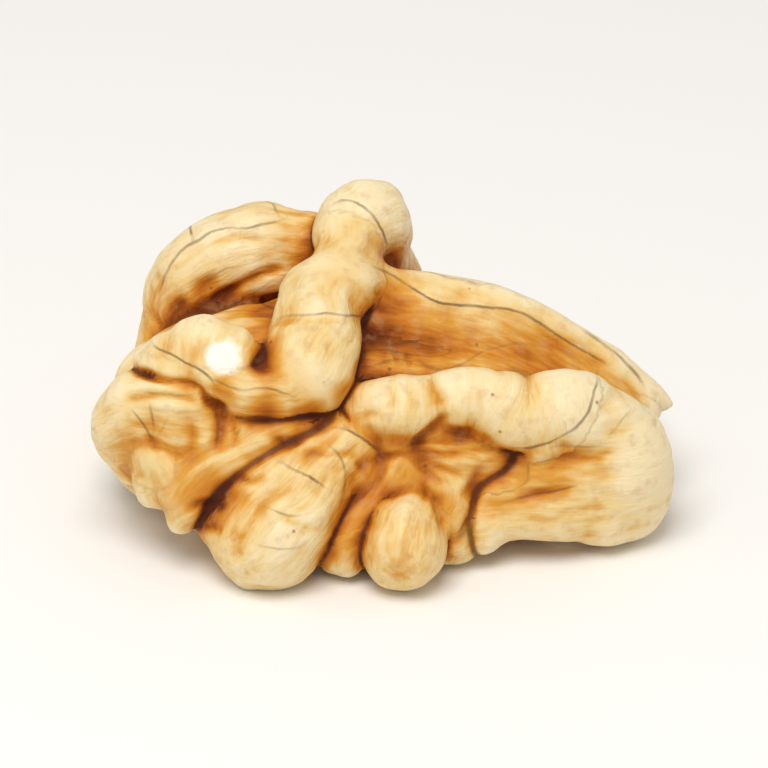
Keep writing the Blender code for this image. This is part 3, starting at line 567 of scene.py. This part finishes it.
def noise(points, seed):
    """Gradient noise: a random slope at each lattice corner, blended by a quintic curve."""
    draw = np.random.default_rng(seed)
    order = draw.permutation(256)
    order = np.concatenate([order, order])
    slopes = unit(draw.normal(size=(256, 3)))
    cell = np.floor(points).astype(np.int64)
    inside = points - cell
    cell &= 255
    fade = inside ** 3 * (inside * (inside * 6 - 15) + 10)
    total = 0.0
    for corner in np.ndindex(2, 2, 2):
        index = [(cell[:, k] + corner[k]) & 255 for k in range(3)]
        slope = slopes[order[order[order[index[0]] + index[1]] + index[2]]]
        weight = np.prod([fade[:, k] if corner[k] else 1 - fade[:, k] for k in range(3)], axis=0)
        total = total + weight * np.sum(slope * (inside - corner), axis=1)
    return 1.5 * total


def billow(points, size, seed):
    """Rounded lumps with narrow valleys between them: the noise's absolute value."""
    return np.abs(noise(points / size, seed)) - 0.22


def grain_of(points, balls, distances, nearest):
    """Each vertex in the frame of its nearest ball: along the fold, and two ways across it. The
    wing's grain follows its lip, read from that one fold, and the wall's runs level, read from
    the place itself."""
    names = list(FOLDS)
    lobes = [lobe for lobe, _, _ in FOLDS.values()]
    from_centre = points - balls.centres[nearest]
    tangent, across = balls.tangents[nearest], balls.across[nearest]
    side = np.cross(tangent, across)
    grain = np.stack([balls.along[nearest] + np.sum(from_centre * tangent, 1),
                      np.sum(from_centre * across, 1), np.sum(from_centre * side, 1)], axis=1)
    two = np.partition(distances, 1, axis=1)
    calm = np.clip((two[:, 1] - two[:, 0]) / 0.5, 0, 1)
    lobe_of = np.array(lobes)[balls.fold[nearest]]
    in_wing, in_wall = lobe_of == "wing", lobe_of == "wall"
    lip = np.flatnonzero(balls.fold == names.index("wing_lip"))
    wing = np.flatnonzero(in_wing)
    square = np.sum((points[wing, None, :] - balls.centres[None, lip, :]) ** 2, axis=2)
    near = square.argmin(axis=1)
    grain[wing] = np.stack([balls.along[lip][near], np.sqrt(square[np.arange(len(wing)), near]),
                            np.zeros(len(wing))], axis=1)
    over = (lobe_of == "ridge") | (lobe_of == "brow")
    grain[over] *= [1 / GRAIN_STRETCH, GRAIN_STRETCH, GRAIN_STRETCH]
    grain[in_wall] = points[in_wall] * [1.0, 0.3, 1.0]
    calm[in_wing | in_wall] = 1.0
    return grain, calm


def wrinkled(skin, points, balls):
    """Lumps where the folds are lumpy, a groove along the creases, then deeper hollows."""
    distances, nearest = balls.distances(points)
    grain, calm = grain_of(points, balls, distances, nearest)
    calm = skin.smoothed(calm[:, None], 3)[:, 0]
    weight = np.exp(-(distances - distances.min(axis=1, keepdims=True)) / 0.4)
    lumpy = weight @ np.array([lump for _, lump, _ in FOLDS.values()]) / weight.sum(axis=1)
    bend = np.stack([noise(points / BEND_SIZE_MM, BEND_SEED + k) for k in range(3)], axis=1)
    bent = points + BEND_MM * bend
    height = lumpy * sum(tall * billow(bent, size, seed) for tall, size, seed in LUMPS)
    tall, size, seed = PUCKERS
    height += (0.3 + 0.7 * lumpy) * tall * billow(bent, size, seed)
    height += sum(tall * noise(points / size, seed) for tall, size, seed in SWELLS)
    tall, size, seed = FLUTES
    height += tall * calm * noise(grain / np.array(size), seed)
    seam = seam_gap(lobe_distances(distances)) + 2.0 * softness(points)
    height -= GROOVE_MM * np.exp(-(seam / GROOVE_WIDTH_MM) ** 2)
    points = points + skin.normals(points) * height[:, None]
    points = skin.smoothed(points, 1)
    hollow = skin.hollow(points, 10)
    points -= skin.normals(points) * np.clip(hollow, -0.02, 0.2)[:, None]
    points = points + furrowed(points, skin.normals(points))[:, None] * skin.normals(points)
    return skin.smoothed(points, 1, 0.4), signed_seam(lobe_distances(distances), seam), grain, calm


def placed(points):
    """Centres the skin in plan on the CAD box and sets its resting flats on z = 0."""
    low, high = points.min(axis=0), points.max(axis=0)
    middle = (np.array(CAD_LOW) + np.array(CAD_HIGH)) / 2 / MM
    shift = middle - (low + high) / 2
    shift[2] = -REST_HEIGHT_MM
    moved = points + shift
    moved[:, 2] = np.maximum(moved[:, 2], 0.0)
    return moved


def coded(distance, reach, strength):
    """A signed distance as an angle's cosine and sine, with a strength: blending these between
    vertices keeps a thin line sharp, and past the reach the angle is half a turn either way."""
    angle = np.pi * np.clip(distance / reach, -1, 1)
    return np.stack([np.cos(angle), np.sin(angle), np.broadcast_to(strength, angle.shape)], axis=1)


def seen_from(points, side):
    """(right, up) as seen from the front or the rear, 30 degrees above the horizon, and the
    direction to the eye."""
    turn = 1.0 if side == "front" else -1.0
    up = np.array([0.0, 0.5 * turn, np.sqrt(0.75)])
    return np.stack([turn * points[:, 0], points @ up], axis=1), np.array([0.0, -turn * np.sqrt(0.75), 0.5])


def drawn_line(flat, rows, reach, taper):
    """The points within reach of a line drawn on the view plane, their signed distances to it,
    and a share that fades from 1 to 0 over the taper at both of its ends."""
    path, along = even_path([(x, y, 0.0, 1.0) for x, y in rows], 0.12)
    heading = unit(np.gradient(path[:, :2], axis=0))
    low, high = path[:, :2].min(0) - reach, path[:, :2].max(0) + reach
    near = np.flatnonzero(np.all((flat > low) & (flat < high), axis=1))
    away = flat[near, None, :] - path[None, :, :2]
    square = np.sum(away ** 2, axis=2)
    k = square.argmin(axis=1)
    pick = away[np.arange(len(near)), k]
    sign = np.where(heading[k, 0] * pick[:, 1] > heading[k, 1] * pick[:, 0], 1.0, -1.0)
    share = np.clip(np.minimum(along[k], along[-1] - along[k]) / taper, 0, 1)
    return near, sign * np.sqrt(square.min(axis=1)), share


def furrowed(points, normals):
    """Height of the drawn furrows and ribs: each a bell across its line, on the side it faces."""
    height = np.zeros(len(points))
    for side, depth, half_width, rows in FURROWS:
        flat, eye = seen_from(points, side)
        near, distance, share = drawn_line(flat, rows, 3 * half_width, 0.8)
        facing = np.clip((normals[near] @ eye - 0.1) / 0.3, 0, 1)
        height[near] -= depth * share * facing * np.exp(-(distance / half_width) ** 2)
    return height


def vein_layers(points, normals):
    """For each group of veins, every vertex's signed distance to the nearest vein, coded. The
    distance is measured square to the line of sight; strength fades at both ends of a vein and
    where the skin turns away."""
    layers = []
    for group in range(3):
        best = np.full(len(points), VEIN_REACH_MM)
        strength = np.zeros(len(points))
        for side, its_group, weight, rows in VEINS.values():
            if its_group != group:
                continue
            flat, eye = seen_from(points, side)
            flat = flat + 0.16 * np.stack([noise(points / 1.6, 31), noise(points / 1.6, 32)], axis=1)
            near, distance, ends = drawn_line(flat, rows, VEIN_REACH_MM, 1.2)
            facing = np.clip((normals[near] @ eye - 0.05) / 0.25, 0, 1)
            won = (np.abs(distance) < np.abs(best[near])) & (facing > 0)
            best[near[won]] = distance[won]
            strength[near[won]] = (weight * ends * facing)[won]
        layers.append(coded(best, VEIN_REACH_MM, strength))
    return layers


def bells(points, spots):
    """The greatest bell of the spots above 0 plus the least of those below; each bell falls off
    over its spot's reach."""
    high, low = np.zeros(len(points)), np.zeros(len(points))
    for x, y, z, reach, weight in spots:
        square = np.sum((points - np.array([x, y, z])) ** 2, axis=1)
        bell = weight * np.exp(-square / reach ** 2)
        high, low = np.maximum(high, bell), np.minimum(low, bell)
    return high + low


def give(mesh, name, values):
    """Stores one number or one vector for each vertex of the mesh."""
    kind = "FLOAT" if values.ndim == 1 else "FLOAT_VECTOR"
    layer = mesh.attributes.new(name, kind, "POINT")
    layer.data.foreach_set("value" if values.ndim == 1 else "vector", values.astype(np.float32).ravel())


def kernel():
    """The kernel's skin, with what its seed coat reads stored on its vertices."""
    balls = Balls()
    skin = Skin(*wrapped_skin())
    points = pull_to_surface(skin, balls)
    points, seam, grain, calm = wrinkled(skin, points, balls)
    in_table = points
    points = placed(points)
    made = mesh_object("walnut_half_skin", points, skin.quads)
    mesh = made.data
    mesh.polygons.foreach_set("use_smooth", np.ones(len(mesh.polygons), bool))
    give(mesh, "seam", coded(seam, SEAM_REACH_MM, 1 - softness(in_table)))
    for number, layer in enumerate(vein_layers(in_table, skin.normals(points))):
        give(mesh, f"vein_{number}", layer)
    give(mesh, "grain", grain)
    give(mesh, "calm", calm)
    # painted shade (partly real tan) and painted light from the spots above
    give(mesh, "tan_shade_and_light", bells(in_table, TAN_SHADE_AND_LIGHT_SPOTS))
    # pale spots: a painted highlight on the hook's fold, and flesh where the coat has worn off
    give(mesh, "bare_and_highlight", bells(in_table, [spot + (1.0,) for spot in BARE_AND_HIGHLIGHT_SPOTS]))
    # hollow measures that darken the coat: partly its own browner colour, partly painted shade in creases and
    # valleys
    give(mesh, "hollow_fine", skin.hollow(points, FINE_ROUNDS))
    give(mesh, "hollow_broad", skin.hollow(points, BROAD_ROUNDS))
    return made


# ---------------------------------------------------------------- seed coat

def linear(hex_colour):
    """An sRGB hex value as linear RGBA."""
    parts = [int(hex_colour[k:k + 2], 16) / 255 for k in (1, 3, 5)]
    return tuple(p / 12.92 if p <= 0.04045 else ((p + 0.055) / 1.055) ** 2.4 for p in parts) + (1.0,)


def add(tree, kind, settings=None, **sockets):
    """Adds a node. settings are its properties; each socket gets a value or an output, and a
    node stands for its first output."""
    node = tree.nodes.new(kind)
    for name, value in (settings or {}).items():
        setattr(node, name, value)
    for name, value in sockets.items():
        key = int(name[1:]) if name[0] == "i" and name[1:].isdigit() else name.replace("_", " ")
        socket = node.inputs[key]
        if isinstance(value, bpy.types.Node):
            value = value.outputs[0]
        if isinstance(value, bpy.types.NodeSocket):
            tree.links.new(value, socket)
        else:
            socket.default_value = value
    return node


BLOTCH_MM, PATCH_MM, FRECKLE_MM = 4.0, 2.5, 0.9    # patches of deeper tan, worn patches, freckles
STRAND_MM, HAIR_MM = 0.36, 0.9            # width of the fibres' strands, and between hairlines
SPECK_GAP_MM = 2.6                        # from one dark speck to the next
MATH, RANGE, MIX = "ShaderNodeMath", "ShaderNodeMapRange", "ShaderNodeMix"
NOISE, ATTRIBUTE = "ShaderNodeTexNoise", "ShaderNodeAttribute"
TIMES, TIMES_PLUS = {"operation": "MULTIPLY"}, {"operation": "MULTIPLY_ADD"}
MINUS, LESSER, GREATER = {"operation": "SUBTRACT"}, {"operation": "MINIMUM"}, {"operation": "MAXIMUM"}
SMOOTH, PAINT = {"interpolation_type": "SMOOTHSTEP"}, {"data_type": "RGBA"}


def seed_coat():
    """Walnut seed coat: a thin waxy skin, pale where it is stretched over a fold and brown in
    the hollows, partly its own colour and partly painted light and shade, with fine grain along each
    fold, thin dark veins, crease lines that are partly painted shade, a few specks and pale spots,
    one of them a painted highlight."""
    material = bpy.data.materials.new("waxy_seed_coat")
    material.use_nodes = True
    tree = material.node_tree
    shader = tree.nodes["Principled BSDF"]
    place = add(tree, "ShaderNodeTexCoord").outputs["Object"]
    single, triple = {}, {}
    for name in ("hollow_fine", "hollow_broad", "tan_shade_and_light", "bare_and_highlight", "calm"):
        single[name] = add(tree, ATTRIBUTE, {"attribute_name": name}).outputs["Fac"]
    for name in ("grain", "seam", "vein_0", "vein_1", "vein_2"):
        triple[name] = add(tree, ATTRIBUTE, {"attribute_name": name}).outputs["Vector"]

    # patches, freckles and strands along the grain
    blotch = add(tree, NOISE, Vector=place, Scale=1 / (BLOTCH_MM * MM), Detail=3.0).outputs["Fac"]
    small = add(tree, NOISE, Vector=place, Scale=1 / (FRECKLE_MM * MM), Detail=4.0).outputs["Fac"]
    patch = add(tree, NOISE, Vector=place, Scale=1 / (PATCH_MM * MM), Detail=2.0).outputs["Fac"]
    stretched = add(tree, "ShaderNodeVectorMath", TIMES, i0=triple["grain"], i1=(GRAIN_STRETCH, 1.0, 1.0))
    strands = add(tree, NOISE, Vector=stretched, Scale=1 / STRAND_MM, Detail=3.0).outputs["Fac"]
    strands = add(tree, MATH, MINUS, i0=strands, i1=0.5)
    strands = add(tree, MATH, TIMES, i0=strands, i1=single["calm"])

    # colour from depth: browner in the hollows, partly the coat's own deeper colour and partly painted shade
    # where the hollows lie in shade
    depth = add(tree, MATH, LESSER, i0=single["hollow_fine"], i1=0.1)
    broad = add(tree, MATH, LESSER, i0=single["hollow_broad"], i1=0.55)
    depth = add(tree, MATH, TIMES_PLUS, i0=depth, i1=1.8, i2=broad)
    uneven = add(tree, MATH, MINUS, i0=blotch, i1=0.5)
    # the spots' painted shade and light, partly real tan, go into the colour depth
    for source, share in ((uneven, 0.5), (strands, 0.65), (single["tan_shade_and_light"], 0.75)):
        depth = add(tree, MATH, TIMES_PLUS, i0=source, i1=share, i2=depth)
    depth = add(tree, RANGE, i0=depth, i1=-0.65, i2=0.95)
    ramp = add(tree, "ShaderNodeValToRGB", i0=depth)
    stops = ((0.0, "#F2DEB2"), (0.22, "#EACA88"), (0.42, "#DA9C3C"), (0.6, "#C67618"), (0.8, "#9E520A"),
             (1.0, "#6E3005"))
    elements = ramp.color_ramp.elements
    elements.remove(elements[0])
    elements[0].position = stops[0][0]
    elements[0].color = linear(stops[0][1])
    for position, colour in stops[1:]:
        elements.new(position).color = linear(colour)

    # hairlines where a second, longer noise crosses its middle
    hair = add(tree, NOISE, Vector=stretched, Scale=1 / HAIR_MM, Detail=1.0).outputs["Fac"]
    hair = add(tree, MATH, MINUS, i0=hair, i1=0.5)
    hair = add(tree, MATH, {"operation": "ABSOLUTE"}, i0=hair)
    hair = add(tree, RANGE, SMOOTH, i0=hair, i1=0.0, i2=0.014, i3=1.0, i4=0.0)
    here = add(tree, RANGE, SMOOTH, i0=blotch, i1=0.5, i2=0.7, i3=0.0, i4=0.2)
    hair = add(tree, MATH, TIMES, i0=hair, i1=here)
    hair = add(tree, MATH, TIMES, i0=hair, i1=single["calm"])

    # veins and creases: each attribute holds a distance as a turned pair, and a strength
    # the crease line is drawn wider where the spots paint shade
    narrow = add(tree, RANGE, i0=single["tan_shade_and_light"], i1=-0.4, i2=1.0, i3=1.9, i4=0.5)
    near_vein, near_seam = (0.04, 0.14, VEIN_REACH_MM), (0.08, 0.42, SEAM_REACH_MM)
    lines = {}
    for name, (inner, outer, reach) in (("vein_0", near_vein), ("vein_1", near_vein), ("vein_2", near_vein),
                                        ("seam", near_seam)):
        pair = add(tree, "ShaderNodeSeparateXYZ", i0=triple[name]).outputs
        gap = add(tree, MATH, {"operation": "ARCTAN2"}, i0=pair[1], i1=pair[0])
        gap = add(tree, MATH, {"operation": "ABSOLUTE"}, i0=gap)
        gap = add(tree, MATH, TIMES, i0=gap, i1=reach / np.pi)
        if name == "seam":
            gap = add(tree, MATH, TIMES, i0=gap, i1=narrow)
        line = add(tree, RANGE, SMOOTH, i0=gap, i1=inner, i2=outer, i3=1.0, i4=0.0)
        lines[name] = add(tree, MATH, TIMES, i0=line, i1=pair[2])
    veins = add(tree, MATH, GREATER, i0=lines["vein_0"], i1=lines["vein_1"])
    veins = add(tree, MATH, GREATER, i0=veins, i1=lines["vein_2"])
    faint = add(tree, RANGE, SMOOTH, i0=patch, i1=0.3, i2=0.65, i3=0.4, i4=1.0)
    veins = add(tree, MATH, TIMES, i0=veins, i1=faint)
    worn = add(tree, RANGE, SMOOTH, i0=patch, i1=0.3, i2=0.7, i3=0.7, i4=1.0)
    crease = add(tree, MATH, TIMES, i0=lines["seam"], i1=worn)

    # specks, and pale spots: flesh showing where the coat has worn off, and a painted highlight on the hook's
    # fold
    cells = add(tree, "ShaderNodeTexVoronoi", Vector=place, Scale=1 / (SPECK_GAP_MM * MM)).outputs["Distance"]
    speck = add(tree, RANGE, SMOOTH, i0=cells, i1=0.03, i2=0.07, i3=0.6, i4=0.0)
    ragged = add(tree, MATH, MINUS, i0=small, i1=0.5)
    pale_flesh_and_highlight = add(tree, MATH, TIMES_PLUS, i0=ragged, i1=0.5, i2=single["bare_and_highlight"])
    pale_flesh_and_highlight = add(tree, RANGE, SMOOTH, i0=pale_flesh_and_highlight, i1=0.4, i2=0.7)
    mottle = add(tree, RANGE, SMOOTH, i0=small, i1=0.5, i2=0.75, i3=0.0, i4=0.35)
    dark_vein = add(tree, MATH, TIMES, i0=veins, i1=0.85)
    # crease line: partly the coat's dark line in the crease and partly painted shade of the narrow crack
    crease_line_and_shade = add(tree, MATH, TIMES, i0=crease, i1=0.9)

    colour = ramp.outputs["Color"]
    # over the ramp: mottle, hairlines, veins, crease lines that are partly painted shade, specks, and pale
    # spots, one a painted highlight
    for over, share in (("#C9996A", mottle), ("#8A5A30", hair), ("#5C3A26", dark_vein),
                        ("#48190A", crease_line_and_shade), ("#6B3A1A", speck), ("#FFF6E4", pale_flesh_and_highlight)):
        colour = add(tree, MIX, PAINT, i0=share, i6=colour, i7=linear(over)).outputs[2]
    tree.links.new(colour, shader.inputs["Base Color"])

    # relief, gloss and glow
    relief = add(tree, MATH, TIMES_PLUS, i0=small, i1=0.5, i2=strands)
    relief = add(tree, MATH, TIMES_PLUS, i0=veins, i1=0.25, i2=relief)
    bump = add(tree, "ShaderNodeBump", Strength=0.6, Distance=0.2 * MM, Height=relief)
    rough = add(tree, RANGE, SMOOTH, i0=strands, i1=-0.2, i2=0.2, i3=0.33, i4=0.47)
    dull = add(tree, RANGE, SMOOTH, i0=depth, i1=0.4, i2=0.9, i3=0.0, i4=0.35)
    rough = add(tree, MATH, {"operation": "ADD"}, i0=rough, i1=dull)
    tree.links.new(bump.outputs[0], shader.inputs["Normal"])
    tree.links.new(rough.outputs[0], shader.inputs["Roughness"])
    shader.inputs["Specular IOR Level"].default_value = 0.22
    shader.inputs["Subsurface Weight"].default_value = 0.12
    shader.inputs["Subsurface Radius"].default_value = (1.0, 0.5, 0.2)
    shader.inputs["Subsurface Scale"].default_value = 0.0012
    return material


# ---------------------------------------------------------------- stage

FLOOR_HALF_M = 1.0
KEY_PLACE_M = (-0.045, -0.13, 0.34)
KEY_WATTS, KEY_SIZE_M, ROOM_LIGHT = 0.9, 0.22, 0.57
LOOK_AT_M = np.array([0.0, -0.001, 0.0085])
LOOK_DOWN, DISTANCE_M = np.radians(30), 0.42
LENS_MM, SENSOR_MM = 300, 36


def studio():
    """A pale floor, a soft key light from upper left, a pale room and the camera."""
    mesh = bpy.data.meshes.new("floor")
    corners = [(FLOOR_HALF_M * x, FLOOR_HALF_M * y, 0) for x, y in ((-1, -1), (1, -1), (1, 1), (-1, 1))]
    mesh.from_pydata(corners, [], [(0, 1, 2, 3)])
    floor = bpy.data.objects.new("floor", mesh)
    bpy.context.scene.collection.objects.link(floor)
    paper = bpy.data.materials.new("white_paper")
    paper.use_nodes = True
    shader = paper.node_tree.nodes["Principled BSDF"]
    shader.inputs["Base Color"].default_value = linear("#F4F2EE")
    shader.inputs["Roughness"].default_value = 0.8
    mesh.materials.append(paper)
    world = bpy.data.worlds.new("room")
    world.use_nodes = True
    background = world.node_tree.nodes["Background"]
    background.inputs["Color"].default_value = linear("#FBFAF8")
    background.inputs["Strength"].default_value = ROOM_LIGHT
    bpy.context.scene.world = world
    light = bpy.data.lights.new("key", "AREA")
    light.energy = KEY_WATTS
    light.size = KEY_SIZE_M
    key = bpy.data.objects.new("key", light)
    key.location = KEY_PLACE_M
    aim(key, (0, 0, 0.01))
    bpy.context.scene.collection.objects.link(key)
    lens = bpy.data.cameras.new("camera")
    lens.lens = LENS_MM
    lens.sensor_width = SENSOR_MM
    camera = bpy.data.objects.new("camera", lens)
    camera.location = LOOK_AT_M + DISTANCE_M * np.array([0, -np.cos(LOOK_DOWN), np.sin(LOOK_DOWN)])
    aim(camera, LOOK_AT_M)
    bpy.context.scene.collection.objects.link(camera)
    bpy.context.scene.camera = camera
    bpy.context.scene.view_settings.view_transform = "Standard"


def aim(thing, point):
    """Turns a lamp or a camera to face a point."""
    direction = Vector(point) - Vector(thing.location)
    thing.rotation_euler = direction.to_track_quat("-Z", "Y").to_euler()


half = kernel()
half.data.materials.append(seed_coat())
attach(half, "root")
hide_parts("walnut_half")
studio()
